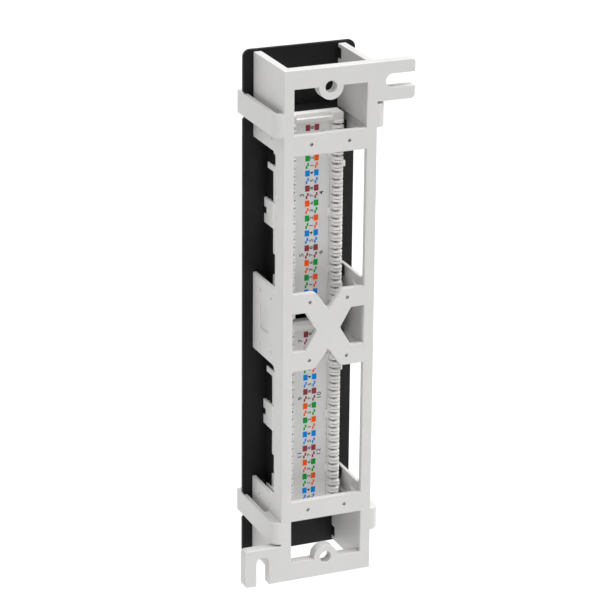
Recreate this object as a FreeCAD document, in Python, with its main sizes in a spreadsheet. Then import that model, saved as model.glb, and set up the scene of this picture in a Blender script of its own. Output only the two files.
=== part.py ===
import FreeCAD, Part
import os
import re
import Sketcher

# Wall mount patch panel: a wall bracket that carries a faceplate with two punch-down modules.
# X runs along the width, Z up, and -Y away from the wall; the wall is the plane Y = 0.
# Depths are measured from the wall towards the front, so a depth of 10 lies at Y = -10.

# Driving dimensions in millimetres
SIZES = {
    # Bracket
    "bracket_height": 252.0,
    "frame_depth": 37.1,
    "wall_thick": 4.0,
    "mid_wall_thick": 2.0,
    "rail_width": 5.2,
    "rail_depth": 10.0,
    "window_corner": 2.5,
    "bar_thick": 3.0,
    "gusset_reach": 5.0,
    "gusset_depth": 19.0,
    "gusset_thick": 1.6,
    "end_bar_thick": 5.4,
    "end_bar_height": 9.0,
    "end_window_height": 21.5,
    "inner_bar_height": 10.1,
    "brace_height": 38.2,
    "brace_waist": 12.0,
    "brace_side_width": 6.4,
    "brace_side_height": 18.6,
    "brace_notch_width": 13.4,
    "brace_notch_depth": 9.3,
    "brace_corner": 3.0,
    "boss_radius": 6.0,
    "screw_radius": 2.8,
    "ear_reach": 18.6,
    "ear_height": 18.8,
    "ear_slot_width": 6.3,
    "ear_slot_length": 14.5,
    "ear_corner": 2.0,
    "pin_mark_radius": 1.15,
    "pin_mark_depth": 0.8,
    "pin_mark_spacing": 18.8,
    "wall_mark_radius": 0.8,
    "wall_mark_depth": 0.3,
    "wall_mark_front": 9.7,
    "wall_mark_rear": 14.0,
    "wall_mark_inset": 5.6,
    "panel_recess_length": 10.6,
    "panel_recess_height": 11.4,
    "panel_recess_depth": 0.9,
    # Snap arms
    "arm_height": 11.1,
    "arm_thick": 2.3,
    "arm_gap": 2.1,
    "arm_slit": 1.05,
    "arm_root": 3.0,
    "arm_bend": 4.0,
    "arm_inner_bend": 1.5,
    "arm_web_height": 3.0,
    "arm_web_reach": 15.5,
    "hook_length": 6.8,
    "hook_reach": 2.0,
    "hook_land": 1.2,
    # Faceplate
    "plate_thick": 2.0,
    "plate_end_overhang": 1.0,
    "plate_side_overhang": 4.9,
    "plate_corner": 3.5,
    "plate_notch_corner": 1.5,
    "tab_height": 5.1,
    "tab_reach": 3.6,
    "tab_thick": 1.85,
    "tab_from_end": 2.0,
    "guide_height": 5.2,
    "guide_reach": 7.3,
    "guide_thick": 1.5,
    "fit_gap": 0.15,
    "collar_gap": 0.2,
    "collar_wall": 1.8,
    "collar_end_margin": 0.4,
    "tongue_reach": 3.5,
    "catch_height": 2.94,
    "catch_reach": 2.7,
    # Modules
    "row_count": 24,
    "row_pitch": 3.81,
    "module_gap": 2.8,
    "module_shift": -1.45,
    "board_side_margin": 0.4,
    "board_thick": 1.6,
    "board_end_margin": 3.0,
    "nose_proud": 0.6,
    "jack_depth": 12.6,
    "skirt_reach": 1.4,
    # Punch-down blocks
    "block_width": 28.0,
    "block_clearance": 5.1,
    "block_base_thick": 3.2,
    "block_end_frame": 3.68,
    "comb_height": 6.1,
    "comb_thick": 4.8,
    "comb_crest": 0.2,
    "comb_inner_round": 2.9,
    "post_drop": 1.6,
    "ledge_drop": 2.6,
    "ledge_width": 1.7,
    "end_wall_drop": 4.8,
    "wire_slot_width": 0.9,
    "wire_slot_depth": 4.4,
    "wire_lead_in": 1.8,
    "wire_lead_depth": 0.9,
    "tooth_split_width": 0.3,
    "tooth_split_depth": 1.8,
    "open_end_lip": 0.4,
    "flange_reach": 2.4,
    "flange_drop": 2.0,
    "flange_top": 24.3,
    "flange_bottom": -19.3,
    "end_flange_near": 29.5,
    "end_flange_far": 40.0,
    "latch_height": 12.4,
    "latch_thick": 1.35,
    "latch_notch_reach": 2.9,
    "latch_notch_height": 3.24,
    "latch_bead": 0.5,
    "latch_bead_length": 1.0,
    "latch_bead_from_plate": 3.5,
    "block_tab_height": 2.9,
    "block_tab_thick": 0.8,
    "block_tab_reach": 3.4,
    "end_tab_from_centre": 36.5,
    # Label
    "label_thick": 0.3,
    "label_clip_height": 4.0,
    "label_clip_reach": 1.2,
    "label_clip_thick": 0.6,
    "label_clip_pitch": 28.3,
    "label_clip_shift": 0.5,
    # Punch-down contacts
    "fork_width": 2.2,
    "fork_thick": 0.5,
    "fork_from_edge": 2.8,
    "fork_top_drop": 1.3,
    "fork_slit": 0.3,
    "fork_slit_depth": 4.5,
    "fork_lead_in": 1.2,
    "fork_lead_depth": 0.8,
    "fork_pin_width": 0.6,
    "pin_stub": 0.9,
    "pin_hole_radius": 0.5,
    # Jacks
    "jack_width": 15.4,
    "jack_side_gap": 0.34,
    "nose_width": 13.0,
    "nose_height": 12.9,
    "port_height": 11.9,
    "port_width": 6.9,
    "port_wall": 2.1,
    "port_floor": 1.2,
    "key_height": 6.3,
    "key_width": 2.0,
    "key_slot_height": 3.4,
    "key_slot_width": 1.1,
    "post_radius": 1.5,
    "post_spacing": 10.0,
    "post_offset": 3.0,
    # Jack contacts
    "spring_count": 8,
    "spring_pitch": 1.016,
    "spring_thick": 0.4,
    "spring_groove": 0.6,
    "spring_groove_depth": 1.3,
    "spring_lip": 1.3,
    "spring_bend_gap": 0.5,
    "spring_free_length": 5.5,
    "spring_free_reach": 3.1,
    "spring_hole_radius": 0.4,
}

# Dimensions that follow from the driving ones
DERIVED = {
    "top": "bracket_height / 2",
    "block_side": "block_width / 2",
    "wall_inner": "block_side + block_clearance",
    "half_width": "wall_inner + wall_thick",
    "mid_wall_inner": "half_width - mid_wall_thick",
    "window_half": "half_width - rail_width",
    "end_bar_edge": "top - end_bar_height",
    "inner_bar_top": "end_bar_edge - end_window_height",
    "inner_bar_bottom": "inner_bar_top - inner_bar_height",
    "inner_bar_middle": "inner_bar_top - inner_bar_height / 2",
    "brace_top": "brace_height / 2",
    "brace_side_edge": "window_half - brace_side_width",
    "brace_side_middle": "(brace_side_height / 2 + brace_top) / 2",
    "screw_height": "top - ear_height / 2",
    "ear_end": "half_width + ear_reach",
    "ear_bottom": "top - ear_height",
    "ear_middle": "half_width + ear_reach / 2",
    "ear_slot_end": "ear_slot_length - ear_slot_width / 2",
    "arm_top": "ear_bottom - arm_slit",
    "arm_bottom": "arm_top - arm_height",
    "arm_inner": "half_width + arm_gap",
    "arm_outer": "arm_inner + arm_thick",
    "plate_rear": "frame_depth",
    "plate_front": "plate_rear + plate_thick",
    "plate_top": "top + plate_end_overhang",
    "plate_half": "half_width + plate_side_overhang",
    "hook_base": "plate_front + fit_gap",
    "arm_tip": "hook_base + hook_length",
    "tab_top": "top - tab_from_end",
    "tab_bottom": "tab_top - tab_height",
    "tab_start": "plate_rear - tab_reach",
    "tab_side": "wall_inner + tab_thick",
    "guide_side": "mid_wall_inner - fit_gap",
    "rows_half": "row_count * row_pitch / 2",
    "block_half": "rows_half + block_end_frame",
    "module_pitch": "2 * block_half + module_gap",
    "port_pitch": "4 * row_pitch",
    "jack_front": "plate_front + nose_proud",
    "jack_shoulder": "plate_rear - fit_gap",
    "board_half": "block_side - board_side_margin",
    "board_front": "jack_front - jack_depth",
    "board_rear": "board_front - board_thick",
    "block_floor": "board_rear - block_base_thick",
    "label_face": "block_floor - label_thick",
    "comb_top": "block_floor - comb_height",
    "comb_inner": "block_side - comb_thick",
    "comb_outer_round": "comb_thick - comb_crest - comb_inner_round",
    "rim": "board_front + skirt_reach",
    "collar_inner": "block_side + collar_gap",
    "collar_outer": "collar_inner + collar_wall",
    "collar_half": "block_half - collar_end_margin",
    "flange_side": "block_side + flange_reach",
    "flange_start": "board_rear - flange_drop",
    "latch_inner": "collar_outer + fit_gap",
    "latch_outer": "latch_inner + latch_thick",
    "latch_end": "plate_rear - fit_gap",
    "bead_start": "plate_rear - latch_bead_from_plate - latch_bead_length",
    "bead_end": "plate_rear - latch_bead_from_plate",
    "label_half": "rows_half - fit_gap",
    "fork_place": "block_side - fork_from_edge",
    "fork_top": "comb_top + fork_top_drop",
    "pin_end": "board_front + pin_stub",
    "jack_half": "port_pitch / 2 - jack_side_gap / 2",
    "port_low": "port_wall - nose_width / 2",
    "port_high": "port_low + port_width",
    "key_high": "port_high + key_width",
    "key_slot_high": "key_high + key_slot_width",
    "port_bottom": "board_front + port_floor",
    "groove_back": "port_low - spring_groove_depth",
    "groove_end": "jack_front - spring_lip",
    "spring_back": "groove_back + fit_gap",
    "spring_front": "spring_back + spring_thick",
    "spring_top": "groove_end - spring_bend_gap",
}

UPPER = "(module_shift + module_pitch / 2)"
LOWER = "(module_shift - module_pitch / 2)"
MODULES = {"upper": UPPER, "lower": LOWER}
PORTS_PER_MODULE = 6

doc = FreeCAD.newDocument("patch_panel")
sheet = doc.addObject("Spreadsheet::Sheet", "Sizes")


def fill_sheet():
    """Write each driving dimension into the sheet and give its cell the dimension's name."""
    for row, (name, size) in enumerate(SIZES.items(), 1):
        sheet.set(f"A{row}", name)
        sheet.set(f"B{row}", str(size))
        sheet.setAlias(f"B{row}", name)
    doc.recompute()


def bind(formula):
    """Turn a formula in plain names into an expression on the sheet's cells."""
    def swap(match):
        word = match.group(0)
        if word in DERIVED:
            return f"({bind(DERIVED[word])})"
        return f"Sizes.{word}"
    return re.sub(r"[a-z][a-z_]*", swap, str(formula))


def number(formula):
    """Present value of a formula."""
    return float(sheet.evalExpression(bind(formula)))


def origin_part(body, role):
    """Origin plane or axis of a body, by its role."""
    return next(item for item in body.Origin.OriginFeatures if item.Role == role)


def new_body(name, height="0"):
    """Empty body, lifted to its height."""
    body = doc.addObject("PartDesign::Body", name)
    body.Label = name
    body.AllowCompound = True
    body.setExpression("Placement.Base.z", bind(height))
    return body


def hold(sketch, kind, geometry, point, formula):
    """Measure a point of the sketch from its origin by a formula."""
    index = sketch.addConstraint(Sketcher.Constraint(kind, -1, 1, geometry, point, number(formula)))
    sketch.setExpression(f"Constraints[{index}]", bind(formula))


def draw_outline(sketch, corners):
    """Closed outline of straight lines through corners given as pairs of formulas."""
    points = [FreeCAD.Vector(number(across), number(up), 0) for across, up in corners]
    following = points[1:] + points[:1]
    lines = [sketch.addGeometry(Part.LineSegment(*ends), False) for ends in zip(points, following)]
    for line, after in zip(lines, lines[1:] + lines[:1]):
        sketch.addConstraint(Sketcher.Constraint("Coincident", line, 2, after, 1))
    for line, (across, up) in zip(lines, corners):
        hold(sketch, "DistanceX", line, 1, across)
        hold(sketch, "DistanceY", line, 1, up)


def draw_circle(sketch, across, up, radius):
    """Circle with its centre and radius given as formulas."""
    centre = FreeCAD.Vector(number(across), number(up), 0)
    ring = sketch.addGeometry(Part.Circle(centre, FreeCAD.Vector(0, 0, 1), number(radius)), False)
    hold(sketch, "DistanceX", ring, 3, across)
    hold(sketch, "DistanceY", ring, 3, up)
    index = sketch.addConstraint(Sketcher.Constraint("Radius", ring, number(radius)))
    sketch.setExpression(f"Constraints[{index}]", bind(radius))


def extrude(body, kind, name, plane, start, end, outlines, circles):
    """Pad or pocket of a sketch on an origin plane, from start to end along the plane's normal."""
    sketch = body.newObject("Sketcher::SketchObject", f"{name}_sketch")
    sketch.AttachmentSupport = (origin_part(body, plane), [""])
    sketch.MapMode = "FlatFace"
    sketch.setExpression("AttachmentOffset.Base.z", bind(start))
    for corners in outlines:
        draw_outline(sketch, corners)
    for circle in circles:
        draw_circle(sketch, *circle)
    feature = body.newObject(kind, name)
    feature.Profile = sketch
    feature.setExpression("Length", bind(f"({end}) - ({start})"))
    return feature


def add(body, name, start, end, outlines=(), circles=(), plane="XZ_Plane"):
    """Add material between two heights over a plane; over XZ_Plane these are depths."""
    feature = extrude(body, "PartDesign::Pad", name, plane, start, end, outlines, circles)
    doc.recompute()
    return feature


def cut(body, name, start, end, outlines=(), circles=(), plane="XZ_Plane"):
    """Remove material between two heights over a plane; over XZ_Plane these are depths."""
    before = body.Shape.Volume
    feature = extrude(body, "PartDesign::Pocket", name, plane, start, end, outlines, circles)
    feature.Reversed = True
    doc.recompute()
    if body.Shape.Volume >= before:
        raise RuntimeError(f"{name} of {body.Label} cuts nothing")
    return feature


def mirror(body, name, plane):
    """Reflect the whole body in an origin plane and keep both halves."""
    feature = body.newObject("PartDesign::Mirrored", name)
    feature.TransformMode = "Whole shape"
    feature.MirrorPlane = (origin_part(body, plane), [""])
    body.Tip = feature
    doc.recompute()


def repeat_up(body, name, features, spacing, count):
    """Repeat features at even spacing up the body's own Z axis."""
    pattern = body.newObject("PartDesign::LinearPattern", name)
    pattern.Originals = features
    pattern.Direction = (origin_part(body, "Z_Axis"), [""])
    pattern.setExpression("Length", bind(f"({spacing}) * (({count}) - 1)"))
    pattern.setExpression("Occurrences", bind(count))
    body.Tip = pattern
    doc.recompute()


def edges_along(shape, axis, places):
    """Names of the straight edges along an axis (0, 1, 2) that stand at the places across it."""
    across = [index for index in range(3) if index != axis]
    wanted = [[number(formula) for formula in place] for place in places]
    names = []
    for index, edge in enumerate(shape.Edges, 1):
        ends = [vertex.Point for vertex in edge.Vertexes]
        if len(ends) < 2 or edge.Length - abs(ends[1][axis] - ends[0][axis]) > 1e-6:
            continue
        here = [ends[0][index_across] for index_across in across]
        if any(max(abs(a - b) for a, b in zip(here, place)) < 1e-3 for place in wanted):
            names.append(f"Edge{index}")
    return names


def round_edges(body, name, radius, axis, places):
    """Fillet the edges along an axis at the places across it."""
    base = body.Tip
    edges = edges_along(base.Shape, axis, places)
    if not edges:
        raise RuntimeError(f"{name} of {body.Label} finds no edge")
    feature = body.newObject("PartDesign::Fillet", name)
    feature.Base = (base, edges)
    feature.setExpression("Radius", bind(radius))
    doc.recompute()


def rectangle(left, right, low, high):
    """Outline of a rectangle between four formulas."""
    return [(left, low), (right, low), (right, high), (left, high)]


def pair(near, far, low, high):
    """Two rectangles, one on each side of the middle plane."""
    return [rectangle(near, far, low, high), rectangle(f"-({far})", f"-({near})", low, high)]


def pairs_both_ends(near, far, low, high):
    """Four rectangles, mirrored to both sides and both ends."""
    return pair(near, far, low, high) + pair(near, far, f"-({high})", f"-({low})")


def side_view(points):
    """Outline on the YZ plane from pairs of depth and height."""
    return [(f"-({depth})", height) for depth, height in points]


def plan_view(points):
    """Outline on the XY plane from pairs of width and depth."""
    return [(across, f"-({depth})") for across, depth in points]


def shifted(height, centre):
    """Height above a module's centre as a height of the whole panel."""
    return f"{centre} + ({height})"


def bracket_quarter(body):
    """Upper right quarter of the bracket without its ear."""
    wall = side_view([
        (0, 0), ("frame_depth", 0), ("frame_depth", "brace_top"), ("rail_depth", "brace_top"),
        ("rail_depth", "inner_bar_bottom"), ("frame_depth", "inner_bar_bottom"),
        ("frame_depth", "top"), (0, "top"),
    ])
    add(body, "side_wall", "wall_inner", "half_width", [wall], plane="YZ_Plane")
    window_corners = [("-rail_depth", "brace_top"), ("-rail_depth", "inner_bar_bottom")]
    round_edges(body, "window_rounds", "window_corner", 0, window_corners)
    middle = side_view(rectangle(0, "frame_depth", 0, "inner_bar_top"))
    cut(body, "thin_middle", "wall_inner", "mid_wall_inner", [middle], plane="YZ_Plane")
    tab_seat = side_view(rectangle("tab_start", "frame_depth", "tab_bottom", "tab_top"))
    cut(body, "tab_seat", "wall_inner", "tab_side + fit_gap", [tab_seat], plane="YZ_Plane")
    add(body, "rail_lip", 0, "bar_thick", [rectangle("window_half", "half_width", 0, "top")])
    add(body, "inner_bar", 0, "bar_thick",
        [rectangle(0, "half_width", "inner_bar_bottom", "inner_bar_top")])
    add(body, "end_bar", 0, "end_bar_thick", [rectangle(0, "half_width", "end_bar_edge", "top")])
    brace = [
        (0, 0), ("brace_waist / 2", 0), ("brace_side_edge", "brace_side_height / 2"),
        ("half_width", "brace_side_height / 2"), ("half_width", "brace_top"),
        ("brace_notch_width / 2", "brace_top"), (0, "brace_top - brace_notch_depth"),
    ]
    add(body, "brace", 0, "bar_thick", [brace])
    round_edges(body, "brace_rounds", "brace_corner", 1, [("brace_notch_width / 2", "brace_top")])
    add(body, "screw_boss", 0, "end_bar_thick", circles=[(0, "screw_height", "boss_radius")])


def bracket_gussets(body):
    """Thin gussets of the same quarter, from the wall to the middle of the brace side and the bar."""
    corner = plan_view([
        ("mid_wall_inner", "bar_thick"), ("mid_wall_inner - gusset_reach", "bar_thick"),
        ("mid_wall_inner", "bar_thick + gusset_depth"),
    ])
    for name, middle in (("brace_gusset", "brace_side_middle"), ("bar_gusset", "inner_bar_middle")):
        add(body, name, f"{middle} - gusset_thick / 2", f"{middle} + gusset_thick / 2", [corner],
            plane="XY_Plane")


def wall_marks(body):
    """Ejector marks of the same quarter, on the outside of the wall."""
    depths = ("wall_mark_rear", "frame_depth - wall_mark_front")
    heights = ("brace_top - wall_mark_inset", "inner_bar_bottom + wall_mark_inset")
    marks = [(f"-({depth})", height, "wall_mark_radius") for depth in depths for height in heights]
    cut(body, "wall_marks", "half_width - wall_mark_depth", "half_width", circles=marks, plane="YZ_Plane")


def snap_arm(body):
    """Snap arm of the same quarter: root, strap, hook and the web at its foot."""
    strap = plan_view([
        ("half_width", 0), ("arm_outer", 0), ("arm_outer", "arm_tip"), ("arm_inner", "arm_tip"),
        ("arm_inner - hook_reach", "hook_base + hook_land"), ("arm_inner - hook_reach", "hook_base"),
        ("arm_inner", "hook_base"), ("arm_inner", "arm_root"), ("half_width", "arm_root"),
    ])
    add(body, "snap_arm", "arm_bottom", "arm_top", [strap], plane="XY_Plane")
    round_edges(body, "arm_outer_bend", "arm_bend", 2, [("arm_outer", 0)])
    round_edges(body, "arm_inner_round", "arm_inner_bend", 2, [("arm_inner", "-arm_root")])
    web = plan_view(rectangle("half_width", "arm_inner", "arm_root / 2", "arm_web_reach"))
    add(body, "arm_web", "arm_bottom", "arm_bottom + arm_web_height", [web], plane="XY_Plane")


def ears(body):
    """Slotted ears: the upper one opens sideways, the lower one opens downwards."""
    add(body, "ears", 0, "end_bar_thick", [
        rectangle("-ear_end", "-half_width", "ear_bottom", "top"),
        rectangle("half_width", "ear_end", "-top", "-ear_bottom"),
    ])
    upper_corners = [("-ear_end", "top"), ("-ear_end", "ear_bottom")]
    lower_corners = [("ear_end", "-top"), ("ear_end", "-ear_bottom")]
    round_edges(body, "ear_rounds", "ear_corner", 1, upper_corners + lower_corners)
    cut(body, "ear_slots", 0, "end_bar_thick", [
        rectangle("-ear_end", "ear_slot_end - ear_end", "screw_height - ear_slot_width / 2",
                  "screw_height + ear_slot_width / 2"),
        rectangle("ear_middle - ear_slot_width / 2", "ear_middle + ear_slot_width / 2", "-top",
                  "ear_slot_end - top"),
    ])
    cut(body, "ear_slot_ends", 0, "end_bar_thick", circles=[
        ("ear_slot_end - ear_end", "screw_height", "ear_slot_width / 2"),
        ("ear_middle", "ear_slot_end - top", "ear_slot_width / 2"),
    ])


def bracket_marks(body):
    """Moulding marks: ejector pins on the bars, and a shallow field on each side of the brace."""
    across = "pin_mark_spacing / 2"
    heights = ("inner_bar_middle", "brace_top - brace_notch_depth / 2")
    marks = [(f"{side}({across})", f"{end}({height})", "pin_mark_radius")
             for height in heights for side in ("", "-") for end in ("", "-")]
    cut(body, "pin_marks", 0, "pin_mark_depth", circles=marks)
    middle = "(rail_depth + frame_depth) / 2"
    field = side_view(rectangle(
        f"{middle} - panel_recess_length / 2", f"{middle} + panel_recess_length / 2",
        "-panel_recess_height / 2", "panel_recess_height / 2"))
    cut(body, "right_field", "half_width - panel_recess_depth", "half_width", [field], plane="YZ_Plane")
    cut(body, "left_field", "-half_width", "panel_recess_depth - half_width", [field], plane="YZ_Plane")


def mounting_bracket():
    """Wall bracket: one moulding."""
    body = new_body("mounting_bracket")
    bracket_quarter(body)
    bracket_gussets(body)
    wall_marks(body)
    snap_arm(body)
    mirror(body, "left_half", "YZ_Plane")
    mirror(body, "lower_half", "XY_Plane")
    ears(body)
    cut(body, "screw_holes", 0, "end_bar_thick", circles=[
        (0, "screw_height", "screw_radius"), (0, "-screw_height", "screw_radius")])
    bracket_marks(body)
    return body


def port_height_of(centre, index):
    """Height of a module's port, counted from its top."""
    return f"{centre} + port_pitch * {(PORTS_PER_MODULE - 1) / 2 - index}"


def plate_collars(body):
    """Collars behind the plate that the modules snap onto, with their ends, tongues and catches."""
    frames = []
    ends = []
    tongues = []
    catches = []
    grooves = []
    for centre in MODULES.values():
        for width, end in (("collar_outer", "collar_half"), ("collar_inner", "collar_half - collar_wall")):
            frames.append(rectangle(f"-({width})", width, shifted(f"-({end})", centre), shifted(end, centre)))
        for low, high in (("collar_half - collar_wall", "collar_half"),
                          ("-collar_half", "collar_wall - collar_half")):
            ends.append(rectangle("-collar_outer", "collar_outer", shifted(low, centre),
                                  shifted(high, centre)))
        for low, high in (("flange_top", "end_flange_near"), ("-end_flange_near", "flange_bottom")):
            tongues += pair("collar_inner", "collar_outer", shifted(f"{low} + fit_gap", centre),
                            shifted(f"{high} - fit_gap", centre))
        catches += pair("collar_outer", "latch_outer", shifted("-catch_height / 2", centre),
                        shifted("catch_height / 2", centre))
        grooves += pair("latch_inner - latch_bead - 2 * fit_gap", "collar_outer",
                        shifted("-latch_height / 2 - fit_gap", centre),
                        shifted("latch_height / 2 + fit_gap", centre))
    add(body, "collars", "rim", "plate_rear", frames)
    add(body, "collar_ends", "board_rear", "rim", ends)
    add(body, "collar_tongues", "rim - tongue_reach", "rim", tongues)
    add(body, "latch_catches", "plate_rear - catch_reach", "plate_rear", catches)
    cut(body, "bead_grooves", "bead_start - fit_gap", "bead_end + fit_gap", grooves)


def faceplate():
    """Front plate with the port openings, the arm notches, and the collars, tabs and guides behind it."""
    body = new_body("faceplate")
    add(body, "plate", "plate_rear", "plate_front",
        [rectangle("-plate_half", "plate_half", "-plate_top", "plate_top")])
    corners = [(f"{side}plate_half", f"{end}plate_top") for side in ("", "-") for end in ("", "-")]
    round_edges(body, "plate_rounds", "plate_corner", 1, corners)
    notch_low = "arm_bottom - fit_gap"
    notch_high = "arm_top + fit_gap"
    cut(body, "arm_notches", "plate_rear", "plate_front",
        pairs_both_ends("arm_inner - fit_gap", "plate_half", notch_low, notch_high))
    notch_corners = [(f"{side}plate_half", f"{end}({height})")
                     for side in ("", "-") for end in ("", "-") for height in (notch_low, notch_high)]
    round_edges(body, "notch_rounds", "plate_notch_corner", 1, notch_corners)
    plate_collars(body)
    add(body, "locating_tabs", "tab_start + fit_gap", "plate_rear",
        pairs_both_ends("wall_inner", "tab_side", "tab_bottom + fit_gap", "tab_top - fit_gap"))
    guides = []
    for low, high in (("brace_top - guide_height", "brace_top"),
                      ("inner_bar_bottom", "inner_bar_bottom + guide_height")):
        guides += pairs_both_ends("guide_side - guide_thick", "guide_side", low, high)
    add(body, "guides", "plate_rear - guide_reach", "plate_rear", guides)
    half_width = "nose_width / 2 + fit_gap"
    half_height = "nose_height / 2 + fit_gap"
    openings = []
    for centre in MODULES.values():
        for index in range(PORTS_PER_MODULE):
            port = port_height_of(centre, index)
            openings.append(rectangle(f"-({half_width})", half_width, f"{port} - ({half_height})",
                                      f"{port} + ({half_height})"))
    cut(body, "port_openings", "plate_rear", "plate_front", openings)
    return body


def circuit_board(place, centre):
    """Board of one module, drilled for the jacks and the punch-down contacts."""
    body = new_body(f"circuit_board_{place}", centre)
    half_length = "block_half - board_end_margin"
    add(body, "board", "board_rear", "board_front",
        [rectangle("-board_half", "board_half", f"-({half_length})", half_length)])
    lowest_row = "row_pitch / 2 - rows_half"
    pins = [(side + "fork_place", lowest_row, "pin_hole_radius") for side in ("", "-")]
    fork_holes = cut(body, "fork_holes", "board_rear", "board_front", circles=pins)
    repeat_up(body, "fork_hole_rows", [fork_holes], "row_pitch", "row_count")
    lowest_port = f"-port_pitch * {(PORTS_PER_MODULE - 1) / 2}"
    holes = [("post_offset", f"{lowest_port} {sign} post_spacing / 2", "post_radius + fit_gap")
             for sign in ("+", "-")]
    for index in range(int(number("spring_count"))):
        step = f"spring_pitch * ({index} - (spring_count - 1) / 2)"
        holes.append(("spring_back + spring_thick / 2", f"{lowest_port} + {step}", "spring_hole_radius"))
    jack_holes = cut(body, "jack_holes", "board_rear", "board_front", circles=holes)
    repeat_up(body, "jack_hole_groups", [jack_holes], "port_pitch", PORTS_PER_MODULE)
    return body


def block_ends(body):
    """Stepped end frames of a block; the lower one is open between its posts."""
    posts = pairs_both_ends("comb_inner", "block_side", "rows_half", "block_half")
    add(body, "end_posts", "comb_top + post_drop", "block_floor", posts)
    for name, drop, low, high in (
        ("ledges", "ledge_drop", "rows_half", "rows_half + ledge_width"),
        ("end_walls", "end_wall_drop", "rows_half + ledge_width", "block_half"),
    ):
        strips = [rectangle("-comb_inner", "comb_inner", low, high),
                  rectangle("-comb_inner", "comb_inner", f"-({high})", f"-({low})")]
        add(body, name, f"comb_top + {drop}", "block_floor", strips)
    cut(body, "open_end", "comb_top + ledge_drop", "board_rear",
        [rectangle("-comb_inner", "comb_inner", "-block_half", "-rows_half - open_end_lip")])


def block_latches(body):
    """Side flanges that seat on the collar, the latch legs outside it and the small side tabs."""
    flanges = pair("block_side", "flange_side", "flange_bottom", "flange_top")
    flanges += pairs_both_ends("block_side", "flange_side", "end_flange_near", "end_flange_far")
    add(body, "flanges", "flange_start", "rim", flanges)
    half = "latch_height / 2"
    add(body, "latch_legs", "board_rear", "latch_end", pair("latch_inner", "latch_outer", f"-{half}", half))
    notch = "latch_notch_height / 2"
    cut(body, "latch_notches", "plate_rear - latch_notch_reach", "latch_end",
        pair("latch_inner", "latch_outer", f"-{notch}", notch))
    add(body, "latch_beads", "bead_start", "bead_end",
        pair("latch_inner - latch_bead", "latch_inner", f"-{half}", half))
    tab_outer = "flange_side + block_tab_thick"
    add(body, "side_tabs", "block_floor", "plate_rear - block_tab_reach",
        pair("flange_side", tab_outer, "flange_top - block_tab_height", "flange_top"))
    add(body, "end_tabs", "flange_start", "plate_rear - block_tab_reach",
        pairs_both_ends("flange_side", tab_outer, "end_tab_from_centre",
                        "end_tab_from_centre + block_tab_height"))


def block_slots(body):
    """Wire slots with their lead-ins, pockets that hold the contacts, and splits between the slots."""
    row = "row_pitch / 2 - rows_half"
    lead = "wire_lead_in / 2"
    slot = "wire_slot_width / 2"
    throat = "comb_top + wire_lead_depth"
    bottom = "comb_top + wire_slot_depth"
    outline = side_view([
        ("comb_top", f"{row} - {lead}"), (throat, f"{row} - {slot}"), (bottom, f"{row} - {slot}"),
        (bottom, f"{row} + {slot}"), (throat, f"{row} + {slot}"), ("comb_top", f"{row} + {lead}"),
    ])
    wire_slot = cut(body, "wire_slot", "-block_side", "block_side", [outline], plane="YZ_Plane")
    half_thick = "fork_thick / 2 + fit_gap"
    half_width = "fork_width / 2 + fit_gap"
    pocket = pair(f"fork_place - ({half_thick})", f"fork_place + {half_thick}",
                  f"{row} - ({half_width})", f"{row} + {half_width}")
    fork_pocket = cut(body, "fork_pocket", "fork_top - fit_gap", "board_rear", pocket)
    repeat_up(body, "slot_rows", [wire_slot, fork_pocket], "row_pitch", "row_count")
    middle = f"{row} + row_pitch / 2"
    outline = side_view(rectangle("comb_top", "comb_top + tooth_split_depth",
                                  f"{middle} - tooth_split_width / 2", f"{middle} + tooth_split_width / 2"))
    tooth_split = cut(body, "tooth_split", "-block_side", "block_side", [outline], plane="YZ_Plane")
    repeat_up(body, "split_rows", [tooth_split], "row_pitch", "row_count - 1")


def punch_block(place, centre):
    """Punch-down block of one module."""
    body = new_body(f"punch_block_{place}", centre)
    add(body, "base", "block_floor", "board_rear",
        [rectangle("-block_side", "block_side", "-block_half", "block_half")])
    add(body, "combs", "comb_top", "block_floor", pair("comb_inner", "block_side", "-rows_half", "rows_half"))
    for face, radius in (("comb_inner", "comb_inner_round"), ("block_side", "comb_outer_round")):
        crest_edges = [(side + face, "-comb_top") for side in ("", "-")]
        round_edges(body, f"{face}_rounds", radius, 2, crest_edges)
    block_ends(body)
    block_latches(body)
    clips = []
    for step in (-1, 0, 1):
        middle = f"label_clip_shift + {step} * label_clip_pitch"
        clips += pair("comb_inner - label_clip_reach", "comb_inner", f"{middle} - label_clip_height / 2",
                      f"{middle} + label_clip_height / 2")
    add(body, "label_clips", "label_face - label_clip_thick", "label_face", clips)
    block_slots(body)
    return body


def wiring_label(place, centre):
    """Printed strip on the floor of a block, between its combs."""
    body = new_body(f"wiring_label_{place}", centre)
    half_width = "comb_inner - fit_gap"
    add(body, "strip", "label_face", "block_floor",
        [rectangle(f"-({half_width})", half_width, "-label_half", "label_half")])
    return body


def punch_contacts(place, centre, side, sign):
    """Forked contacts of one comb, with pins through the board."""
    body = new_body(f"punch_contacts_{place}_{side}", centre)
    row = "row_pitch / 2 - rows_half"
    shape = [
        ("fork_top", "fork_width / 2"), ("fork_top", "fork_lead_in / 2"),
        ("fork_top + fork_lead_depth", "fork_slit / 2"), ("fork_top + fork_slit_depth", "fork_slit / 2"),
    ]
    pin = [("pin_end", "fork_pin_width / 2"), ("board_rear", "fork_pin_width / 2"),
           ("board_rear", "fork_width / 2")]
    right = [(depth, f"{row} + {off}") for depth, off in pin + shape]
    left = [(depth, f"{row} - {off}") for depth, off in reversed(pin + shape)]
    place_x = f"{sign}fork_place"
    fork = add(body, "fork", f"{place_x} - fork_thick / 2", f"{place_x} + fork_thick / 2",
               [side_view(right + left)], plane="YZ_Plane")
    repeat_up(body, "fork_rows", [fork], "row_pitch", "row_count")
    return body


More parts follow.
